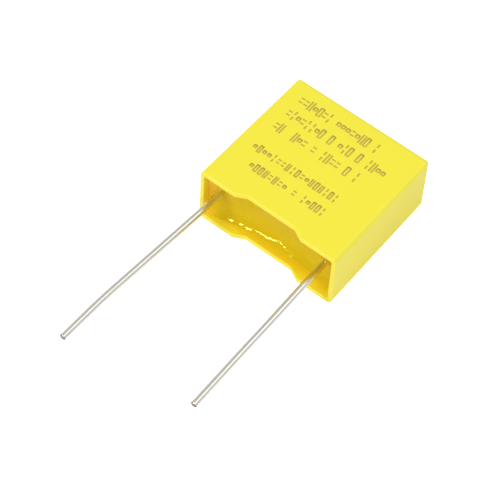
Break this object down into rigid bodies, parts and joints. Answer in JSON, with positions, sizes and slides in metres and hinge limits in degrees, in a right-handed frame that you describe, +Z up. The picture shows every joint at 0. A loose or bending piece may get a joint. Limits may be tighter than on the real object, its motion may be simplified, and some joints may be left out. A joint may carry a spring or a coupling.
{
  "type": "box film safety capacitor",
  "caption": "Mains-suppression film capacitor: a flat moulded box, open and resin-filled at its notched lead end, with long tinned wire leads for a circuit board.",
  "frame": {"origin": "centre of the open end, on the plane of the corner feet, midway through the thickness: the middle of the board footprint", "axes": "+X along the case, +Y from the feet to the closed end, +Z up out of the large printed face; the leads leave along -Y. The object lies on its other large face, so the surface it rests on is 2.9 mm below the origin"},
  "size_m": [0.0128, 0.0286, 0.0058],
  "materials": {
    "moulded_case": "bright yellow injection-moulded polyester, satin gloss",
    "casting_resin": "olive-yellow cast epoxy, glossy",
    "metallised_film": "silvery metallised polypropylene film",
    "plain_film": "clear polypropylene film",
    "sprayed_zinc": "matt grey arc-sprayed zinc",
    "tinned_wire": "drawn and tin-plated wire"
  },
  "bodies": {
    "root": {"case": "moulded_case", "epoxy_fill": "casting_resin", "film_winding": "metallised_film", "cover_film": "plain_film", "end_spray_left": "sprayed_zinc", "end_spray_right": "sprayed_zinc", "lead_left": "tinned_wire", "lead_right": "tinned_wire"}
  },
  "joints": []
}
